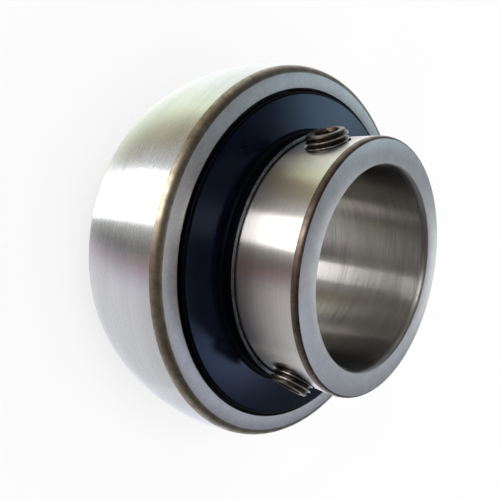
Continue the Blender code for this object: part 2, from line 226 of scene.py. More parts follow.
# The studio. Soft panels and flags stand far round the bearing and are seen in reflections alone,
# with the white background between them. Azimuths round +Z and heights are in degrees. A card is a
# row of stops, each an azimuth and the colour there.
WHITE = (1.0, 1.0, 1.0, 1)
AMBIENT = (0.85, 0.85, 0.85, 1)
FLOOR_REACH = 1.5
FLOOR_DARK = (0.87, 0.87, 0.87, 1)
FLOOR_LIGHT = (0.9, 0.9, 0.9, 1)
FLOOR_GLOW = 0.72
LAMP_STRENGTH = 0.9
LAMP_SPREAD = math.radians(25)
LAMP_TURN = (math.radians(20), math.radians(-25), 0.0)
CARD_DISTANCE = 1.2
CARD_STEP = 5
HORIZON = -16
SIDE_CARD = (
    (-180, (1.25, 1.38, 1.18)),
    (-165, (1.45, 1.66, 1.22)),
    (-161, (1.35, 1.50, 1.00)),
    (-157, (0.60, 0.53, 0.34)),
    (-147, (0.44, 0.38, 0.25)),
    (-140, (0.46, 0.42, 0.33)),
    (-133, (0.72, 0.72, 0.69)),
    (-126, (0.85, 0.87, 0.89)),
)
KEY_PANEL = ((-122, (3.7, 3.7, 3.7)), (-96, (3.7, 3.7, 3.7)))
DARK_FLAG = (
    (-95, (0.64, 0.65, 0.62)),
    (-89, (0.46, 0.47, 0.43)),
    (-82, (0.18, 0.19, 0.19)),
    (-74, (0.38, 0.34, 0.36)),
    (-67, (0.68, 0.62, 0.68)),
    (-58, (0.98, 0.97, 1.06)),
)
FILL_PANEL = (
    (10, (1.05, 1.07, 1.15)),
    (37, (1.50, 1.52, 1.62)),
    (62, (1.60, 1.61, 1.66)),
    (150, (1.75, 1.77, 1.75)),
    (166, (1.65, 1.76, 1.60)),
    (180, (1.25, 1.38, 1.18)),
)
NEAR_SIDE = ((-166, (0.62, 0.55, 0.40)), (-150, (0.52, 0.46, 0.38)), (-125, (0.80, 0.80, 0.80)))
NEAR_KEY = ((-121, (7.0, 7.0, 7.0)), (-97, (7.0, 7.0, 7.0)))
NEAR_FLAG = (
    (-96, (0.75, 0.75, 0.68)),
    (-86, (0.42, 0.39, 0.37)),
    (-77, (0.48, 0.24, 0.18)),
    (-66, (0.32, 0.27, 0.31)),
    (-10, (0.23, 0.25, 0.33)),
)
NEAR_TOP = 14
CANOPY_SEAM = -4
FAR_AZIMUTH = 86
CANOPY_FADE = (-0.25, 0.3)
CANOPY_NEAR = (0.17, 0.16, 0.15, 1)

# The far part of the canopy, from the horizon up: a height and the colour there
CANOPY_FAR = (
    (0, (0.70, 0.74, 0.82)),
    (12, (0.30, 0.32, 0.37)),
    (30, (0.13, 0.14, 0.16)),
    (50, (0.04, 0.04, 0.045)),
    (90, (0.08, 0.08, 0.08)),
)

# Soft round glows on the canopy: azimuth, height, half width and colour
GLOWS = (
    (67, 46, 9, (1.50, 1.60, 1.95)),
    (88, 20, 11, (2.00, 2.05, 1.95)),
    (80, 34, 12, (0.42, 0.45, 0.50)),
    (113, 34, 10, (1.35, 1.75, 1.95)),
    (80, 66, 12, (1.50, 1.55, 1.70)),
)

# The camera, as fitted to the edges of the rings in the photograph
SENSOR_WIDTH = 36.0
LENS = 33.364
CAMERA_PLACE = (-0.003689, -0.061575, 0.071531)
CAMERA_ANGLES = (-10.780, -44.631, 101.119)
CAMERA_REACH = (0.001, 10.0)


class Graph:
    """Adds shader nodes, taking each input as a value or as another node's output."""

    def __init__(self, tree):
        self.tree = tree
        tree.nodes.clear()

    def add(self, kind, inputs=None, output=0, **settings):
        """One output of a new node, or the node itself where it has none."""
        node = self.tree.nodes.new(kind)
        for key, value in settings.items():
            setattr(node, key, value)
        for key, value in (inputs or {}).items():
            if isinstance(value, bpy.types.NodeSocket):
                self.tree.links.new(value, node.inputs[key])
            else:
                node.inputs[key].default_value = value
        return node.outputs[output] if node.outputs else node

    def math(self, operation, first, second=0.0):
        return self.add("ShaderNodeMath", {0: first, 1: second}, operation=operation)

    def weighed(self, first, first_weight, second, second_weight):
        """The sum of two values, each times its weight."""
        first = self.math("MULTIPLY", first, first_weight)
        return self.math("ADD", first, self.math("MULTIPLY", second, second_weight))

    def between(self, value, low, high, start=0.0, end=1.0):
        """From start to end as the value goes from low to high, eased, and level outside them."""
        inputs = {"Value": value, 1: low, 2: high, 3: start, 4: end}
        return self.add("ShaderNodeMapRange", inputs, interpolation_type="SMOOTHSTEP")

    def mix(self, factor, first, second, blend="MIX"):
        inputs = {0: factor, 6: first, 7: second}
        return self.add("ShaderNodeMix", inputs, 2, data_type="RGBA", blend_type=blend)

    def ramp(self, factor, stops):
        """The colour at the factor's place between stops of (place, colour), in rising order."""
        colour = self.add("ShaderNodeValToRGB", {0: factor})
        ramp = colour.node.color_ramp
        while len(ramp.elements) < len(stops):
            ramp.elements.new(1.0)
        for stop, (place, shade) in zip(ramp.elements, stops):
            stop.position = place
            stop.color = shade
        return colour

    def millimetres(self):
        """The surface's place on its own piece."""
        place = self.add("ShaderNodeTexCoord", output="Object")
        return self.add("ShaderNodeVectorMath", {0: place, "Scale": MM_PER_METRE}, operation="SCALE")

    def streaks(self, along, across, detail=4.0, contrast=0.6):
        """Noise drawn out round the axis: so many features per millimetre along it and across it."""
        x, y, z = self.parts(self.millimetres())
        radius = self.radius(x, y)
        x = self.math("MULTIPLY", x, along)
        y = self.math("MULTIPLY", y, along)
        run = self.math("MULTIPLY", self.math("ADD", z, radius), across)
        vector = self.add("ShaderNodeCombineXYZ", {0: x, 1: y, 2: run})
        return self.noise(vector, 1.0, detail, contrast)

    def parts(self, vector):
        node = self.add("ShaderNodeSeparateXYZ", {0: vector}).node
        return node.outputs[0], node.outputs[1], node.outputs[2]

    def radius(self, x, y):
        squares = self.math("ADD", self.math("MULTIPLY", x, x), self.math("MULTIPLY", y, y))
        return self.math("SQRT", squares)

    def noise(self, vector, scale, detail=4.0, contrast=0.6):
        inputs = {"Vector": vector, "Scale": scale, "Detail": detail, "Roughness": contrast}
        return self.add("ShaderNodeTexNoise", inputs)

    def mottle(self, scale, detail=4.0, contrast=0.6):
        """Even noise of so many features per millimetre."""
        return self.noise(self.millimetres(), scale, detail, contrast)

    def specks(self, spacing, size, share):
        """Small dots about so many millimetres apart, kept only where a slow noise is in its top share."""
        place = self.millimetres()
        inputs = {"Vector": place, "Scale": 1.0 / spacing}
        distance = self.add("ShaderNodeTexVoronoi", inputs, "Distance")
        dots = self.between(distance, size / spacing, DOT_CORE * size / spacing)
        slow = self.noise(place, PATCH_SCALE / spacing, 2.0)
        patches = self.between(slow, 1.0 - share - PATCH_EDGE, 1.0 - share + PATCH_EDGE)
        return self.math("MULTIPLY", dots, patches)

    def bump(self, height, depth, normal=None):
        """The normal of a surface with marks so many micrometres deep, over another normal or none."""
        inputs = {"Height": height, "Distance": depth * MICROMETRE, "Strength": 1.0}
        if normal is not None:
            inputs["Normal"] = normal
        return self.add("ShaderNodeBump", inputs)


def new_material(name, shade):
    """A material with the shader that the shade function adds to its graph."""
    material = bpy.data.materials.new(name)
    material.use_nodes = True
    graph = Graph(material.node_tree)
    graph.add("ShaderNodeOutputMaterial", {"Surface": shade(graph)})
    return material


def surface(name, paint):
    """A material whose paint function fills in the shader's inputs."""
    return new_material(name, lambda graph: graph.add("ShaderNodeBsdfPrincipled", paint(graph)))


def look(colour, rough, normal, metallic=1.0):
    """Inputs of a surface that is the same in all directions."""
    return {"Base Color": colour, "Roughness": rough, "Normal": normal, "Metallic": metallic}


def brushed(graph, amount):
    """More inputs, for a surface finished round the axis: its highlight is drawn out across the marks."""
    tangent = graph.add("ShaderNodeTangent", direction_type="RADIAL", axis="Z")
    return {"Anisotropic": amount, "Anisotropic Rotation": BRUSHED_TURN, "Tangent": tangent}


def ground_steel(dark, light, roughness, amount=1.0, marks=1.0):
    """Steel ground round the axis: amount draws its highlight out, marks is how deep its grinding goes."""

    def paint(graph):
        fine = graph.streaks(0.15, 3.0)
        broad = graph.streaks(0.05, 0.4, 2.0)
        grain = graph.streaks(1.1, 9.0, 3.0)
        nicks = graph.specks(2.6, 0.12, 0.3)
        tone = graph.math("ADD", fine, graph.math("MULTIPLY", broad, 0.6))
        colour = graph.ramp(tone, [(0.55, dark), (1.05, light)])
        colour = graph.mix(graph.math("MULTIPLY", nicks, NICK_STRENGTH), colour, SCALE_DARK)
        swing = ROUGHNESS_SWING * marks
        rough = graph.between(fine, 0.3, 0.7, roughness - swing, roughness + swing)
        normal = graph.bump(fine, 1.6 * marks)
        normal = graph.bump(grain, 0.9 * marks, normal)
        normal = graph.bump(graph.math("MULTIPLY", nicks, -1.0), 6.0 * marks, normal)
        return look(colour, rough, normal) | brushed(graph, amount)

    return paint


def satin_face(graph):
    """A face lapped flat: an even satin grey with a fine grain and barely any marks."""
    grain = graph.mottle(4.5, 4.0, 0.8)
    cloud = graph.mottle(0.5)
    nicks = graph.specks(3.1, 0.13, 0.35)
    tone = graph.weighed(grain, 0.7, cloud, 0.3)
    colour = graph.ramp(tone, [(0.38, FACE_DARK), (0.62, FACE_LIGHT)])
    colour = graph.mix(graph.math("MULTIPLY", nicks, NICK_STRENGTH), colour, SCALE_DARK)
    rough = graph.between(grain, 0.35, 0.65, 0.32, 0.38)
    normal = graph.bump(graph.math("ADD", grain, graph.streaks(0.3, 6.0)), 4.0)
    return look(colour, rough, normal, 0.92)


def scaled_corner(dark, light):
    """The turned corners of the rings keep the brown scale of their hardening."""

    def paint(graph):
        marks = graph.streaks(0.3, 2.2)
        blotches = graph.mottle(0.7, 5.0, 0.7)
        grit = graph.mottle(9.0, 3.0, 0.8)
        tone = graph.weighed(blotches, 0.6, grit, 0.4)
        colour = graph.ramp(tone, [(0.38, dark), (0.62, light)])
        rough = graph.between(tone, 0.35, 0.65, 0.46, 0.34)
        normal = graph.bump(graph.math("ADD", marks, grit), 4.0)
        return look(colour, rough, normal) | brushed(graph, 0.5)

    return paint


def dull_turned_in_shade(graph):
    """Grooves, recesses and the walls of holes, turned or drilled and left dull, their colour darkened as
    painted shade.
    """
    marks = graph.streaks(0.25, 4.0)
    tone = graph.mottle(1.3, 5.0, 0.7)
    colour = graph.ramp(tone, [(0.35, SHADED_TURNED_DARK), (0.65, SHADED_TURNED_LIGHT)])
    rough = graph.between(tone, 0.35, 0.65, 0.55, 0.42)
    normal = graph.bump(marks, 8.0)
    return look(colour, rough, normal) | brushed(graph, 0.6)


def polished_steel(graph):
    """Balls and raceways, polished, with faint scuffs."""
    scuffs = graph.mottle(6.0, 5.0, 0.7)
    cloud = graph.mottle(0.5, 3.0)
    colour = graph.ramp(cloud, [(0.35, GROUND_DARK), (0.65, GROUND_LIGHT)])
    rough = graph.between(scuffs, 0.4, 0.7, 0.06, 0.14)
    normal = graph.bump(scuffs, 0.4)
    return look(colour, rough, normal)


def stamped_steel(graph):
    grain = graph.mottle(5.0, 5.0, 0.75)
    cloud = graph.mottle(0.7, 4.0)
    colour = graph.ramp(cloud, [(0.35, STAMPED_DARK), (0.65, STAMPED_LIGHT)])
    rough = graph.between(grain, 0.35, 0.7, 0.3, 0.46)
    normal = graph.bump(grain, 6.0)
    return look(colour, rough, normal)


def phosphate(graph):
    crystals = graph.mottle(12.0, 4.0, 0.8)
    cloud = graph.mottle(0.6, 3.0)
    tone = graph.weighed(crystals, 0.5, cloud, 0.5)
    colour = graph.ramp(tone, [(0.4, PHOSPHATE_DARK), (0.62, PHOSPHATE_LIGHT)])
    rough = graph.between(crystals, 0.35, 0.65, 0.5, 0.66)
    normal = graph.bump(crystals, 10.0)
    return look(colour, rough, normal, 0.8)


def moulded_rubber(graph):
    grain = graph.mottle(8.0, 4.0, 0.7)
    cloud = graph.mottle(0.8, 3.0)
    colour = graph.ramp(cloud, [(0.35, RUBBER_DARK), (0.65, RUBBER_LIGHT)])
    rough = graph.between(grain, 0.35, 0.65, 0.55, 0.72)
    normal = graph.bump(grain, 10.0)
    return look(colour, rough, normal, 0.0)


def blued_steel(dark, light, low, high, specular):
    """Blue-black oxide over spun marks, with a few specks of dust."""

    def paint(graph):
        marks = graph.streaks(0.2, 5.0)
        cloud = graph.mottle(0.45, 5.0, 0.65)
        grain = graph.mottle(11.0, 3.0, 0.7)
        dust = graph.specks(2.3, 0.14, 0.4)
        tone = graph.weighed(cloud, 0.7, marks, 0.3)
        colour = graph.ramp(tone, [(0.36, dark), (0.64, light)])
        colour = graph.mix(graph.math("MULTIPLY", dust, DUST_STRENGTH), colour, DUST)
        rough = graph.between(graph.math("ADD", grain, dust), 0.35, 0.8, low, high)
        normal = graph.bump(graph.math("ADD", marks, grain), 2.0)
        sheen = {"Specular Tint": BLUED_SHEEN, "Specular IOR Level": specular}
        return look(colour, rough, normal, 0.0) | sheen

    return paint


def sheared_edge(graph):
    """The bare steel of a sheet's cut edge, with short tears."""
    tears = graph.streaks(2.5, 3.0)
    colour = graph.ramp(tears, [(0.38, SHEARED_DARK), (0.6, SHEARED_LIGHT)])
    rough = graph.between(tears, 0.35, 0.65, 0.34, 0.5)
    normal = graph.bump(tears, 10.0)
    return look(colour, rough, normal)


def black_oxide(graph):
    """Brown-black oxide, rubbed through to the steel on the thread's crests and the outer end."""
    x, y, z = graph.parts(graph.millimetres())
    blotches = graph.mottle(1.6, 5.0, 0.7)
    grain = graph.mottle(10.0, 3.0, 0.7)
    reach = graph.math("ADD", graph.radius(x, y), graph.math("MULTIPLY", grain, 0.12))
    crest_reach = SCREW_RADIUS * MM_PER_METRE
    crest = graph.between(reach, crest_reach - 0.08, crest_reach + 0.06)
    end = graph.between(graph.math("ADD", z, graph.math("MULTIPLY", grain, 0.1)), -0.12, 0.06)
    worn = graph.math("MAXIMUM", crest, graph.math("MULTIPLY", end, 0.45))
    colour = graph.ramp(blotches, [(0.35, OXIDE_DARK), (0.68, OXIDE_LIGHT)])
    colour = graph.mix(worn, colour, RUBBED)
    rough = graph.between(graph.math("ADD", grain, worn), 0.3, 1.1, 0.42, 0.3)
    normal = graph.bump(grain, 8.0)
    return look(colour, rough, normal)


def socket_oxide(graph):
    blotches = graph.mottle(2.2, 5.0, 0.7)
    colour = graph.ramp(blotches, [(0.35, OXIDE_DARK), (0.68, OXIDE_LIGHT)])
    rough = graph.between(blotches, 0.3, 0.7, 0.5, 0.38)
    normal = graph.bump(blotches, 20.0)
    return look(colour, rough, normal)


PAINTS = {
    "ground": ground_steel(GROUND_DARK, GROUND_LIGHT, 0.27, 1.0, 0.4),
    "sleeve": ground_steel(SLEEVE_DARK, SLEEVE_LIGHT, 0.29, 1.0, 0.1),
    "face": satin_face,
    # The bore and its chamfers: ground steel whose colour is darkened as painted shade
    "bore": ground_steel(SHADED_BORE_DARK, SHADED_BORE_LIGHT, 0.25, 1.0, 0.4),
    "chamfer": ground_steel(SHADED_BORE_DARK, SHADED_BORE_LIGHT, 0.38, 0.5),
    "corner": scaled_corner(SCALE_DARK, SCALE_LIGHT),
    "burnt_corner": scaled_corner(BURNT_DARK, BURNT_LIGHT),
    # Recesses, grooves and hole walls: dull turned steel with painted shade
    "turned": dull_turned_in_shade,
    "race": polished_steel,
    "ball": polished_steel,
    "cage": stamped_steel,
    "plate": phosphate,
    "rubber": moulded_rubber,
    "coat": blued_steel(BLUED_DARK, BLUED_LIGHT, 0.15, 0.23, 0.5),
    # The flinger's bend, shoulder and rim: a dull coat made near-black as painted shade
    "dull_coat": blued_steel(SHADED_COAT_DARK, SHADED_COAT_LIGHT, 0.38, 0.5, 0.07),
    "cut_edge": sheared_edge,
    "oxide": black_oxide,
    "socket": socket_oxide,
}
FINISHES = {name: surface(name, paint) for name, paint in PAINTS.items()}


def arc(centre, radii, start, end, steps):
    """Points on an ellipse's arc from one angle to another, both ends included."""
    points = []
    for index in range(steps + 1):
        angle = start + (end - start) * index / steps
        points.append((centre[0] + radii[0] * math.cos(angle), centre[1] + radii[1] * math.sin(angle)))
    return points


def bend(first, corner, last, steps):
    """A smooth turn between two points, leaving and arriving along the lines that meet at the corner."""
    points = []
    for index in range(steps + 1):
        share = index / steps
        weights = ((1 - share) ** 2, 2 * share * (1 - share), share**2)
        points.append(
            tuple(sum(w * p[k] for w, p in zip(weights, (first, corner, last))) for k in (0, 1))
        )
    return points


def line(first, last, steps):
    """Points along a straight line, both ends included."""
    return bend(first, ((first[0] + last[0]) / 2, (first[1] + last[1]) / 2), last, steps)


def mirrored(stretches):
    """The same stretches of an outline on the other side of the middle, still running the right way."""
    return [(finish, [(r, -h) for r, h in reversed(points)]) for finish, points in reversed(stretches)]


def race_arc(bottom, land):
    """The groove of a raceway, from its front edge to its rear edge."""
    side = 1 if land > bottom else -1
    centre = bottom + side * RACE_RADIUS
    half_angle = math.acos(side * (centre - land) / RACE_RADIUS)
    return arc((centre, 0.0), (-side * RACE_RADIUS, RACE_RADIUS), half_angle, -half_angle, RACE_STEPS)


def outline_points(stretches):
    """The points of a closed outline, each with the finish of the surface that starts there."""
    points = []
    for finish, stretch in stretches:
        for point, after in zip(stretch, stretch[1:]):
            if math.dist(point, after) > SAME_POINT:
                points.append((*point, finish))
    return points


def eased(points, radius):
    """The outline with each sharp corner rounded to about the radius, in a few steps."""
    result = []
    for index, (r, h, finish) in enumerate(points):
        before, after = points[index - 1], points[(index + 1) % len(points)]
        into = (r - before[0], h - before[1])
        out = (after[0] - r, after[1] - h)
        length_in, length_out = math.hypot(*into), math.hypot(*out)
        turn = (into[0] * out[0] + into[1] * out[1]) / (length_in * length_out)
        if turn > math.cos(EASED_TURN):
            result.append((r, h, finish))
            continue
        reach_in = min(radius, EASED_SHARE * length_in)
        reach_out = min(radius, EASED_SHARE * length_out)
        first = (r - into[0] * reach_in / length_in, h - into[1] * reach_in / length_in)
        last = (r + out[0] * reach_out / length_out, h + out[1] * reach_out / length_out)
        turned_points = bend(first, (r, h), last, EDGE_STEPS)
        for step, point in enumerate(turned_points):
            result.append((*point, before[2] if step < len(turned_points) // 2 else finish))
    return result


def finish_mesh(mesh, finishes):
    for finish in finishes:
        mesh.materials.append(FINISHES[finish])
    mesh.shade_smooth()
    mesh.set_sharp_from_angle(angle=SMOOTH_ANGLE)
    mesh.validate()
    return mesh


def ring_mesh(name, points):
    """A closed ring turned about Z from an outline of (radius, height, finish) points."""
    count = len(points)
    area = sum(p[0] * q[1] - q[0] * p[1] for p, q in zip(points, points[1:] + points[:1]))
    finishes = sorted({finish for _, _, finish in points})
    corners, faces, indices = [], [], []
    for segment in range(RING_SEGMENTS):
        angle = 2 * math.pi * segment / RING_SEGMENTS
        after = (segment + 1) % RING_SEGMENTS
        for row, (radius, height, finish) in enumerate(points):
            corners.append((radius * math.cos(angle), radius * math.sin(angle), height))
            up = (row + 1) % count
            face = (segment * count + row, after * count + row, after * count + up, segment * count + up)
            faces.append(face if area > 0 else face[::-1])
            indices.append(finishes.index(finish))
    mesh = bpy.data.meshes.new(name)
    mesh.from_pydata(corners, [], faces)
    mesh.polygons.foreach_set("material_index", indices)
    return finish_mesh(mesh, finishes)


def stacked_mesh(name, rings, finishes):
    """A closed mesh, in its first finish, through rings of as many points each, its ends closed to
    their middles."""
    count = len(rings[0])
    corners = [corner for ring in rings for corner in ring]
    faces = []
    for row in range(len(rings) - 1):
        for k in range(count):
            after = (k + 1) % count
            faces.append(
                (row * count + k, (row + 1) * count + k, (row + 1) * count + after, row * count + after)
            )
    for row, flip in ((0, False), (len(rings) - 1, True)):
        middle = [sum(corner[axis] for corner in rings[row]) / count for axis in range(3)]
        corners.append(tuple(middle))
        for k in range(count):
            face = (len(corners) - 1, row * count + k, row * count + (k + 1) % count)
            faces.append(face[::-1] if flip else face)
    mesh = bpy.data.meshes.new(name)
    mesh.from_pydata(corners, [], faces)
    return finish_mesh(mesh, finishes)


def add_object(name, mesh, place=(0.0, 0.0, 0.0), turn=(0.0, 0.0, 0.0)):
    piece = bpy.data.objects.new(name, mesh)
    piece.location = place
    piece.rotation_euler = turn
    bpy.context.scene.collection.objects.link(piece)
    return piece


def stand_for(piece, node, body):
    """The piece takes the node's place, on its body."""
    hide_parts(node)
    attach(piece, body)


def applied(piece):
    """Fixes the piece's modifiers into its mesh."""
    bpy.context.view_layer.update()
    graph = bpy.context.evaluated_depsgraph_get()
    mesh = bpy.data.meshes.new_from_object(piece.evaluated_get(graph))
    piece.modifiers.clear()
    piece.data = mesh
    mesh.shade_smooth()
    mesh.set_sharp_from_angle(angle=SMOOTH_ANGLE)


def cutter_mesh(steps, sides, slot):
    """A closed cutter through (radius, height) steps, whose cut surface is in one material slot."""
    turns = [2 * math.pi * k / sides for k in range(sides)]
    corners = [(r * math.cos(t), r * math.sin(t), height) for r, height in steps for t in turns]
    faces = []
    for row in range(len(steps) - 1):
        for k in range(sides):
            after = (k + 1) % sides
            faces.append(
                (row * sides + k, row * sides + after, (row + 1) * sides + after, (row + 1) * sides + k)
            )
    faces.append(tuple(reversed(range(sides))))
    faces.append(tuple((len(steps) - 1) * sides + k for k in range(sides)))
    shape = bpy.data.meshes.new("cutter")
    shape.from_pydata(corners, [], faces)
    shape.polygons.foreach_set("material_index", [slot] * len(faces))
    return shape


def cut(piece, cuts):
    """Takes cutters out of the piece, each a (mesh, place, turn) in the piece's own space."""
    tools = []
    for mesh, place, turn in cuts:
        tool = add_object("tool", mesh, place, turn)
        tool.parent = piece
        modifier = piece.modifiers.new("Cut", "BOOLEAN")
        modifier.operation = "DIFFERENCE"
        modifier.solver = "EXACT"
        modifier.object = tool
        tools.append(tool)
    applied(piece)
    for tool in tools:
        bpy.data.objects.remove(tool, do_unlink=True)


def radial_cuts(radius, mouth, inside, outside, height, angles, slot):
    """Round holes through a ring's wall, each with a countersunk mouth at the outside."""
    depth = outside - inside
    margin = 0.2 * depth
    steps = [(radius, -margin), (radius, depth - mouth), (radius + mouth + margin, depth + margin)]
    mesh = cutter_mesh(steps, SMALL_SEGMENTS, slot)
    cuts = []
    for angle in angles:
        place = (inside * math.cos(angle), inside * math.sin(angle), height)
        cuts.append((mesh, place, (0.0, math.pi / 2, angle)))
    return cuts


def outer_ring_stretches():
    rim_height = HALF_WIDTH - OUTER_CORNER_AXIAL
    rim_angle = math.asin(rim_height / SPHERE_RADIUS)
    rim = (SPHERE_RADIUS * math.cos(rim_angle), rim_height)
    face_radius = rim[0] - OUTER_CORNER_RADIAL
    crossing = (rim[0] - OUTER_CORNER_AXIAL * math.tan(rim_angle), HALF_WIDTH)
    front = [
        ("face", [(RECESS_RADIUS, HALF_WIDTH), (face_radius, HALF_WIDTH)]),
        ("corner", bend((face_radius, HALF_WIDTH), crossing, rim, CORNER_STEPS)),
    ]
    seat = [
        (OUTER_LAND_RADIUS, SEAL_SEAT),
        (GROOVE_RADIUS, SEAL_SEAT),
        (GROOVE_RADIUS, SEAL_SEAT + SEAL_GROOVE_WIDTH - SEAL_GROOVE_DEPTH),
        (RECESS_RADIUS, SEAL_SEAT + SEAL_GROOVE_WIDTH),
        (RECESS_RADIUS, HALF_WIDTH),
    ]
    race = race_arc(OUTER_RACE_BOTTOM, OUTER_LAND_RADIUS)[::-1]
    # The seal seat and recess take the turned finish, darkened as painted shade
    front_seat = [("turned", [race[-1]] + seat)]
    sphere = arc((0.0, 0.0), (SPHERE_RADIUS, SPHERE_RADIUS), rim_angle, -rim_angle, SPHERE_STEPS)
    outside = front + [("ground", sphere)] + mirrored(front)
    return outside + mirrored(front_seat) + [("race", race)] + front_seat


def inner_ring_stretches():
    outer_corner = (INNER_CORNER_RADIAL, INNER_CORNER_AXIAL)
    bore_corner = (BORE_CORNER_RADIAL, BORE_CORNER_AXIAL)
    outer_centre = INNER_RADIUS - INNER_CORNER_RADIAL
    bore_centre = BORE_RADIUS + BORE_CORNER_RADIAL
    quarter = math.pi / 2
    top, bottom = LONG_SIDE, -SHORT_SIDE
    steps = CORNER_STEPS
    front = arc((outer_centre, top - INNER_CORNER_AXIAL), outer_corner, quarter, 0, steps)
    race = race_arc(INNER_RACE_BOTTOM, INNER_RADIUS)
    rear = arc((outer_centre, bottom + INNER_CORNER_AXIAL), outer_corner, 0, -quarter, steps)
    rear_bore = arc((bore_centre, bottom + BORE_CORNER_AXIAL), bore_corner, 3 * quarter, 2 * quarter, steps)
    front_bore = arc((bore_centre, top - BORE_CORNER_AXIAL), bore_corner, 2 * quarter, quarter, steps)
    return [
        ("burnt_corner", front),
        ("sleeve", line(front[-1], race[0], CORNER_STEPS)),
        ("race", race),
        ("sleeve", line(race[-1], rear[0], CORNER_STEPS)),
        ("burnt_corner", rear),
        ("face", [rear[-1], rear_bore[0]]),
        ("chamfer", rear_bore),
        ("bore", [rear_bore[-1], front_bore[0]]),
        ("chamfer", front_bore),
        ("face", [front_bore[-1], front[0]]),
    ]


def seal_plate_stretches():
    """A flat plate whose outer rim is pressed up into a bead."""
    bottom = PLATE_BOTTOM
    inner_edge = INNER_RADIUS + LIP_HEIGHT
    points = [
        (PLATE_RADIUS - SEAL_RIM, PLATE_RIM_TOP),
        (PLATE_RADIUS, bottom + SEAL_THICKNESS / 2),
        (PLATE_RADIUS, bottom),
        (inner_edge, bottom),
        (inner_edge, bottom + SEAL_THICKNESS),
        (PLATE_RADIUS - 2 * SEAL_RIM, bottom + SEAL_THICKNESS),
        (PLATE_RADIUS - SEAL_RIM, PLATE_RIM_TOP),
    ]
    return [("plate", points)]


def seal_lip_stretches():
    """A rubber bead on the plate's inner edge, with a lip that slants out to the inner ring."""
    bottom = PLATE_BOTTOM
    top = bottom + SEAL_THICKNESS + LIP_BOND
    bonded = INNER_RADIUS + LIP_HEIGHT - LIP_BOND
    tip = INNER_RADIUS + LIP_CLEARANCE
    points = [
        (bonded, top),
        (bonded, bottom),
        (bonded - LIP_BODY, bottom),
        (tip, top + LIP_LENGTH - LIP_THICKNESS),
        (tip, top + LIP_LENGTH),
        (bonded, top),
    ]
    return [("rubber", points)]


def flinger_stretches():
    """A disc whose rim turns down into the recess; its inner edge turns up into a sheared collar."""
    disc_top = HALF_WIDTH + FLINGER_RISE
    disc_bottom = disc_top - FLINGER_THICKNESS
    centre = (COLLAR_OUTSIDE + FLINGER_BEND, disc_top + FLINGER_BEND)
    inner_bend = FLINGER_BEND + FLINGER_THICKNESS
    shoulder = (FLINGER_RADIUS - FLINGER_SHOULDER, disc_top - FLINGER_SHOULDER)
    rim_inside = FLINGER_RADIUS - FLINGER_THICKNESS
    rim_bottom = HALF_WIDTH - FLINGER_REACH
    upper = arc(centre, (FLINGER_BEND, FLINGER_BEND), math.pi, 1.5 * math.pi, BEND_STEPS)
    lower = arc(centre, (inner_bend, inner_bend), 1.5 * math.pi, math.pi, BEND_STEPS)
    rounded = arc(shoulder, (FLINGER_SHOULDER, FLINGER_SHOULDER), math.pi / 2, 0.0, BEND_STEPS)
    rim = [(FLINGER_RADIUS, rim_bottom), (rim_inside, rim_bottom), (rim_inside, disc_bottom)]
    return [
        # The bend at the collar and the rounded shoulder and rim are near-black as painted shade
        ("dull_coat", [(COLLAR_OUTSIDE, COLLAR_TOP)] + upper),
        ("coat", [upper[-1], rounded[0]]),
        ("dull_coat", rounded + rim + [lower[0]]),
        ("coat", lower + [(COLLAR_INSIDE, COLLAR_TOP)]),
        ("cut_edge", [(COLLAR_INSIDE, COLLAR_TOP), (COLLAR_OUTSIDE, COLLAR_TOP)]),
    ]


def turned_piece(node, stretches, edge, body):
    mesh = ring_mesh(node, eased(outline_points(stretches), edge))
    piece = add_object("finished_" + node, mesh, (0.0, 0.0, MIDDLE))
    stand_for(piece, node, body)
    return piece


def make_outer_ring():
    """The outer ring, with its grease holes between the raceway and the rear seal."""
    ring = turned_piece("outer_ring", outer_ring_stretches(), EDGE_BREAK, "outer")
    race_edge = math.sqrt(RACE_RADIUS**2 - (RACE_RADIUS - OUTER_RACE_DEPTH) ** 2)
    height = -(race_edge + SEAL_SEAT) / 2
    outside = math.sqrt(SPHERE_RADIUS**2 - height**2)
    slot = ring.data.materials.find(FINISHES["turned"].name)
    holes = radial_cuts(
        GREASE_HOLE_RADIUS, GREASE_HOLE_MOUTH, OUTER_LAND_RADIUS, outside, height, GREASE_HOLE_ANGLES, slot
    )
    cut(ring, holes)


def screw_angles():
    """The direction of each set screw round the bearing, from its own joint."""
    joints = {joint["name"]: joint for joint in frame["joints"]}
    angles = []
    for number in (1, 2):
        axis = joints[f"set_screw_{number}_drive"]["axis"]
        angles.append(math.atan2(axis[1], axis[0]))
    return angles


def screw_height():
    low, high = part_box("set_screw_1")
    return (low.z + high.z) / 2 - MIDDLE


def make_inner_ring():
    ring = turned_piece("inner_ring", inner_ring_stretches(), EDGE_BREAK, "inner")
    slot = ring.data.materials.find(FINISHES["turned"].name)
    radius = SCREW_RADIUS + SCREW_CLEARANCE
    holes = radial_cuts(
        radius, SCREW_HOLE_MOUTH, BORE_RADIUS, INNER_RADIUS, screw_height(), screw_angles(), slot
    )
    cut(ring, holes)


def thread_radius(turn, height):
    """The screw's radius at a turn and height: a 60 degree thread, cut short by the ends' chamfers."""
    share = (height / THREAD_PITCH - turn) % 1.0
    from_crest = abs(share - 0.5)
    flank = (from_crest - THREAD_CREST / 2) / (0.5 - THREAD_CREST / 2 - THREAD_ROOT / 2)
    flank = min(max(flank, 0.0), 1.0)
    radius = SCREW_RADIUS - THREAD_DEPTH * flank
    outer_end = SCREW_RADIUS - SCREW_CHAMFER - height
    point_end = CUP_RADIUS + height + SCREW_LENGTH
    return min(radius, outer_end, point_end)


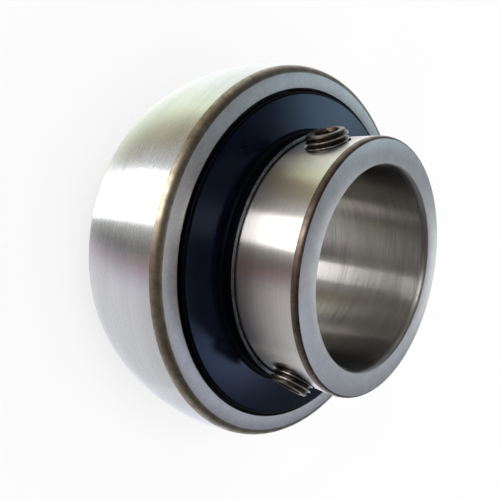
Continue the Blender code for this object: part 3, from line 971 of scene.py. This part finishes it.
def screw_mesh():
    """A set screw that points down its own -Z, its outer end at the origin."""
    rows = round(SCREW_LENGTH / THREAD_PITCH * THREAD_ROWS)
    heights = [-SCREW_LENGTH * row / rows for row in range(rows + 1)]
    end_shares = (0.45, 0.8)
    cup_shares = ((0.8, 0.2), (0.4, 0.6))
    rings = []
    turns = [k / THREAD_SEGMENTS for k in range(THREAD_SEGMENTS)]

    def ring(radii, height):
        loop = zip(radii, turns)
        return [(r * math.cos(2 * math.pi * t), r * math.sin(2 * math.pi * t), height) for r, t in loop]

    for share in end_shares:
        rings.append(ring([share * (SCREW_RADIUS - SCREW_CHAMFER)] * THREAD_SEGMENTS, 0.0))
    for height in heights:
        rings.append(ring([thread_radius(turn, height) for turn in turns], height))
    for share, depth in cup_shares:
        rings.append(ring([share * CUP_RADIUS] * THREAD_SEGMENTS, -SCREW_LENGTH + depth * CUP_DEPTH))
    return stacked_mesh("set_screw", rings, SCREW_FINISHES)


def make_screws():
    mesh = screw_mesh()
    hex_radius = SOCKET_WIDTH / math.sqrt(3)
    reach = INNER_RADIUS + SCREW_PROUD
    slot = SCREW_FINISHES.index("socket")
    cone_tip = (hex_radius / 8, -SOCKET_DEPTH - hex_radius / 2)
    socket_steps = [cone_tip, (hex_radius, -SOCKET_DEPTH), (hex_radius, SOCKET_DEPTH)]
    socket = cutter_mesh(socket_steps, SOCKET_SIDES, slot)
    mouth_steps = [
        (hex_radius - SOCKET_MOUTH, -2 * SOCKET_MOUTH),
        (hex_radius + SOCKET_MOUTH, SOCKET_MOUTH),
    ]
    mouth = cutter_mesh(mouth_steps, SMALL_SEGMENTS, slot)
    for number, angle in enumerate(screw_angles(), start=1):
        node = f"set_screw_{number}"
        place = (reach * math.cos(angle), reach * math.sin(angle), MIDDLE + screw_height())
        screw = add_object("finished_" + node, mesh.copy(), place, (0.0, math.pi / 2, angle))
        cut(screw, [(socket, (0, 0, 0), (0, 0, 0)), (mouth, (0, 0, 0), (0, 0, 0))])
        stand_for(screw, node, f"screw_{number}")


def make_balls():
    mesh = bpy.data.meshes.new("ball")
    shape = bmesh.new()
    bmesh.ops.create_uvsphere(
        shape, u_segments=BALL_SEGMENTS, v_segments=BALL_RINGS, radius=BALL_RADIUS
    )
    shape.to_mesh(mesh)
    shape.free()
    finish_mesh(mesh, ["ball"])
    for index in range(BALL_COUNT):
        node = f"ball_{index + 1}"
        angle = index * BALL_STEP
        place = (PITCH_RADIUS * math.cos(angle), PITCH_RADIUS * math.sin(angle), MIDDLE)
        stand_for(add_object("finished_" + node, mesh, place), node, node)


def ribbon_height(radius, offset):
    """The ribbon's inner face over its own mid plane: a sphere round the ball, with an eased foot."""
    from_ball = radius**2 + PITCH_RADIUS**2 - 2 * radius * PITCH_RADIUS * math.cos(offset)
    flat = CAGE_JOINT_GAP / 2
    foot = CAGE_THICKNESS
    if from_ball < POCKET_RADIUS**2:
        dome = math.sqrt(POCKET_RADIUS**2 - from_ball)
    else:
        dome = -RIBBON_FALL * (math.sqrt(from_ball) - POCKET_RADIUS)
    overlap = max(foot - abs(dome - flat), 0.0) / foot
    return max(dome, flat) + overlap**2 * foot / 4


def pocket_angle(radius):
    """Half the angle that a pocket takes up, seen from the bearing's axis, at one radius of the cage."""
    edge = POCKET_RADIUS**2 - (CAGE_JOINT_GAP / 2) ** 2
    return math.acos((radius**2 + PITCH_RADIUS**2 - edge) / (2 * radius * PITCH_RADIUS))


def ribbon_mesh():
    """The pressed ribbon of the front half of the cage, before it has its thickness."""
    radii = [PITCH_RADIUS + CAGE_WIDTH * (row / RIBBON_ROWS - 0.5) for row in range(RIBBON_ROWS + 1)]
    shares = [math.sin(math.pi * (step / POCKET_STEPS - 0.5)) for step in range(POCKET_STEPS + 1)]
    lands = (0.12, 0.3, 0.5, 0.7, 0.88)
    corners, faces = [], []
    for index in range(BALL_COUNT):
        ball_angle = index * BALL_STEP
        columns = [[share * pocket_angle(radius) for radius in radii] for share in shares]
        for share in lands:
            edges = [pocket_angle(radius) for radius in radii]
            columns.append([edge + share * (BALL_STEP - 2 * edge) for edge in edges])
        for column in columns:
            for offset, radius in zip(column, radii):
                angle = ball_angle + offset
                nearest = min(abs(offset), BALL_STEP - abs(offset))
                height = ribbon_height(radius, nearest)
                corners.append((radius * math.cos(angle), radius * math.sin(angle), height))
    rows = len(radii)
    total = len(corners) // rows
    for column in range(total):
        after = (column + 1) % total
        for row in range(rows - 1):
            faces.append(
                (column * rows + row, column * rows + row + 1, after * rows + row + 1, after * rows + row)
            )
    mesh = bpy.data.meshes.new("cage_ribbon")
    mesh.from_pydata(corners, [], faces)
    return finish_mesh(mesh, ["cage"])


def rivet_places():
    angles = [(index + 0.5) * BALL_STEP for index in range(BALL_COUNT)]
    return [(PITCH_RADIUS * math.cos(a), PITCH_RADIUS * math.sin(a)) for a in angles]


def make_cage():
    ribbon = ribbon_mesh()
    radius = RIVET_RADIUS + RIVET_CLEARANCE
    length = 4 * (CAGE_JOINT_GAP + CAGE_THICKNESS)
    hole = cutter_mesh([(radius, -length / 2), (radius, length / 2)], SMALL_SEGMENTS, 0)
    for node, turn in (("cage_front", 0.0), ("cage_rear", math.pi)):
        half = add_object("finished_" + node, ribbon, (0.0, 0.0, MIDDLE), (turn, 0.0, 0.0))
        sheet = half.modifiers.new("Sheet", "SOLIDIFY")
        sheet.thickness = CAGE_THICKNESS
        sheet.offset = 1.0
        sheet.use_even_offset = True
        cut(half, [(hole, (x, y, 0.0), (0.0, 0.0, 0.0)) for x, y in rivet_places()])
        stand_for(half, node, "cage")


def make_rivets():
    seat = CAGE_JOINT_GAP / 2 + CAGE_THICKNESS + RIVET_CLEARANCE
    head = (RIVET_HEAD_RADIUS, RIVET_HEAD_HEIGHT)
    near_top = 0.45 * math.pi
    dome = arc((0.0, seat), head, near_top, 0.0, CORNER_STEPS)
    steps = dome + [(RIVET_RADIUS, seat), (RIVET_RADIUS, -seat)] + [(r, -h) for r, h in reversed(dome)]
    turns = [2 * math.pi * k / SMALL_SEGMENTS for k in range(SMALL_SEGMENTS)]
    rings = [[(r * math.cos(t), r * math.sin(t), h) for t in turns] for r, h in steps]
    mesh = stacked_mesh("rivet", rings, ["cage"])
    for number, (x, y) in enumerate(rivet_places(), start=1):
        node = f"cage_rivet_{number}"
        stand_for(add_object("finished_" + node, mesh, (x, y, MIDDLE)), node, "cage")


def make_side_pair(name, stretches, edge, body):
    """The same turned piece on the front of the bearing and, mirrored, on its rear."""
    turned_piece(name + "_front", stretches, edge, body)
    turned_piece(name + "_rear", mirrored(stretches), edge, body)


def studio_world():
    """A white background to the camera and to metal and glass, and an even light on matt surfaces."""
    world = bpy.data.worlds.new("studio")
    world.use_nodes = True
    bpy.context.scene.world = world
    graph = Graph(world.node_tree)
    path = graph.add("ShaderNodeLightPath").node.outputs
    seen = graph.math("MAXIMUM", path["Is Camera Ray"], path["Is Transmission Ray"])
    seen = graph.math("MAXIMUM", seen, path["Is Glossy Ray"])
    shade = graph.mix(seen, AMBIENT, WHITE)
    background = graph.add("ShaderNodeBackground", {"Color": shade, "Strength": 1.0})
    graph.add("ShaderNodeOutputWorld", {"Surface": background})
    world.cycles.sampling_method = "NONE"


def glowing(name, paint):
    """A soft panel's material, whose paint function gives the colour that it shows."""

    def shade(graph):
        return graph.add("ShaderNodeEmission", {"Color": paint(graph), "Strength": 1.0})

    material = new_material(name, shade)
    material.cycles.emission_sampling = "NONE"
    return material


def studio_card(name, azimuths, heights, paint):
    """A curved card between two azimuths and two heights, seen in reflections and by nothing else."""
    columns = max(round((azimuths[1] - azimuths[0]) / CARD_STEP), 1)
    rows = max(round((heights[1] - heights[0]) / CARD_STEP), 1)
    corners, faces = [], []
    for row in range(rows + 1):
        tilt = math.radians(heights[0] + (heights[1] - heights[0]) * row / rows)
        for column in range(columns + 1):
            turn = math.radians(azimuths[0] + (azimuths[1] - azimuths[0]) * column / columns)
            flat = CARD_DISTANCE * math.cos(tilt)
            corners.append((flat * math.cos(turn), flat * math.sin(turn), CARD_DISTANCE * math.sin(tilt)))
    for row in range(rows):
        for column in range(columns):
            low = row * (columns + 1) + column
            faces.append((low, low + 1, low + columns + 2, low + columns + 1))
    mesh = bpy.data.meshes.new(name)
    mesh.from_pydata(corners, [], faces)
    mesh.materials.append(glowing(name, paint))
    card = add_object(name, mesh)
    card.visible_camera = card.visible_diffuse = card.visible_transmission = False
    card.visible_volume_scatter = card.visible_shadow = False


def banded(stops):
    """Colours that run from stop to stop round the axis, each stop at its azimuth."""
    first, last = stops[0][0], stops[-1][0]
    places = [((angle - first) / (last - first), (*shade, 1)) for angle, shade in stops]

    def paint(graph):
        x, y, _ = graph.parts(graph.add("ShaderNodeTexCoord", output="Object"))
        azimuth = graph.math("MULTIPLY", graph.math("ARCTAN2", y, x), 180 / math.pi)
        share = graph.math("DIVIDE", graph.math("SUBTRACT", azimuth, first), last - first)
        return graph.ramp(share, places)

    return paint


def canopy(graph):
    """Dim overhead, paler toward the far horizon, with soft round glows."""
    direction = graph.add("ShaderNodeTexCoord", output="Object")
    direction = graph.add("ShaderNodeVectorMath", {0: direction}, operation="NORMALIZE")
    x, y, z = graph.parts(direction)
    height = graph.math("DIVIDE", graph.math("ARCSINE", z), math.pi / 2)
    far = graph.ramp(height, [(angle / 90, (*shade, 1)) for angle, shade in CANOPY_FAR])
    facing = math.radians(FAR_AZIMUTH)
    toward = graph.weighed(x, math.cos(facing), y, math.sin(facing))
    colour = graph.mix(graph.between(toward, *CANOPY_FADE), CANOPY_NEAR, far)
    for azimuth, tilt, width, shade in GLOWS:
        turn, tilt = math.radians(azimuth), math.radians(tilt)
        aim = (math.cos(turn) * math.cos(tilt), math.sin(turn) * math.cos(tilt), math.sin(tilt))
        near = graph.add("ShaderNodeVectorMath", {0: direction, 1: aim}, "Value", operation="DOT_PRODUCT")
        glow = graph.between(near, math.cos(math.radians(width)), 1.0)
        colour = graph.mix(glow, colour, (*shade, 1), "ADD")
    return colour


def add_cards():
    below, near = (-90, HORIZON), (HORIZON, NEAR_TOP)
    cards = (
        ("side_card", SIDE_CARD, below),
        ("key_panel", KEY_PANEL, below),
        ("dark_flag", DARK_FLAG, below),
        ("fill_panel", FILL_PANEL, below),
        ("near_side", NEAR_SIDE, near),
        ("near_key", NEAR_KEY, near),
        ("near_flag", NEAR_FLAG, near),
    )
    for name, stops, heights in cards:
        studio_card(name, (stops[0][0], stops[-1][0]), heights, banded(stops))
    studio_card("canopy_near", (-180, CANOPY_SEAM), (NEAR_TOP, 90), canopy)
    studio_card("canopy_far", (CANOPY_SEAM, 180), (HORIZON, 90), canopy)


def matt_white(graph):
    """White that takes a soft shadow, and glows for the camera and through glass to stay pale."""
    mottle = graph.mottle(0.02, 3.0)
    colour = graph.ramp(mottle, [(0.3, FLOOR_DARK), (0.7, FLOOR_LIGHT)])
    matt = graph.add("ShaderNodeBsdfDiffuse", {"Color": colour})
    path = graph.add("ShaderNodeLightPath").node.outputs
    seen = graph.math("MAXIMUM", path["Is Camera Ray"], path["Is Transmission Ray"])
    glow = graph.add("ShaderNodeEmission", {"Color": WHITE, "Strength": seen})
    return graph.add("ShaderNodeMixShader", {0: FLOOR_GLOW, 1: matt, 2: glow})


def pale_floor():
    """The floor under the bearing. Reflections show the world's white and the low cards in its place."""
    mesh = bpy.data.meshes.new("floor")
    corners = [(x * FLOOR_REACH, y * FLOOR_REACH, 0.0) for x, y in ((-1, -1), (1, -1), (1, 1), (-1, 1))]
    mesh.from_pydata(corners, [], [(0, 1, 2, 3)])
    mesh.materials.append(new_material("floor", matt_white))
    floor = add_object("floor", mesh)
    floor.visible_glossy = False


def soft_lamp():
    light = bpy.data.lights.new("soft_lamp", "SUN")
    light.energy = LAMP_STRENGTH
    light.angle = LAMP_SPREAD
    lamp = bpy.data.objects.new("soft_lamp", light)
    lamp.rotation_euler = LAMP_TURN
    lamp.visible_glossy = False
    bpy.context.scene.collection.objects.link(lamp)


def add_camera():
    """The photograph's own view: close, from above the flinger, with the bearing on its side."""
    data = bpy.data.cameras.new("camera")
    data.sensor_width = SENSOR_WIDTH
    data.lens = LENS
    data.clip_start, data.clip_end = CAMERA_REACH
    camera = bpy.data.objects.new("camera", data)
    camera.location = CAMERA_PLACE
    camera.rotation_euler = [math.radians(angle) for angle in CAMERA_ANGLES]
    bpy.context.scene.collection.objects.link(camera)
    bpy.context.scene.camera = camera


make_outer_ring()
make_inner_ring()
make_balls()
make_cage()
make_rivets()
make_side_pair("seal_plate", seal_plate_stretches(), EDGE_BREAK / 2, "outer")
make_side_pair("seal_lip", seal_lip_stretches(), RUBBER_EDGE, "outer")
make_side_pair("flinger", flinger_stretches(), SHEET_EDGE, "inner")
make_screws()

studio_world()
add_cards()
pale_floor()
soft_lamp()
add_camera()
bpy.context.scene.view_settings.view_transform = "Standard"
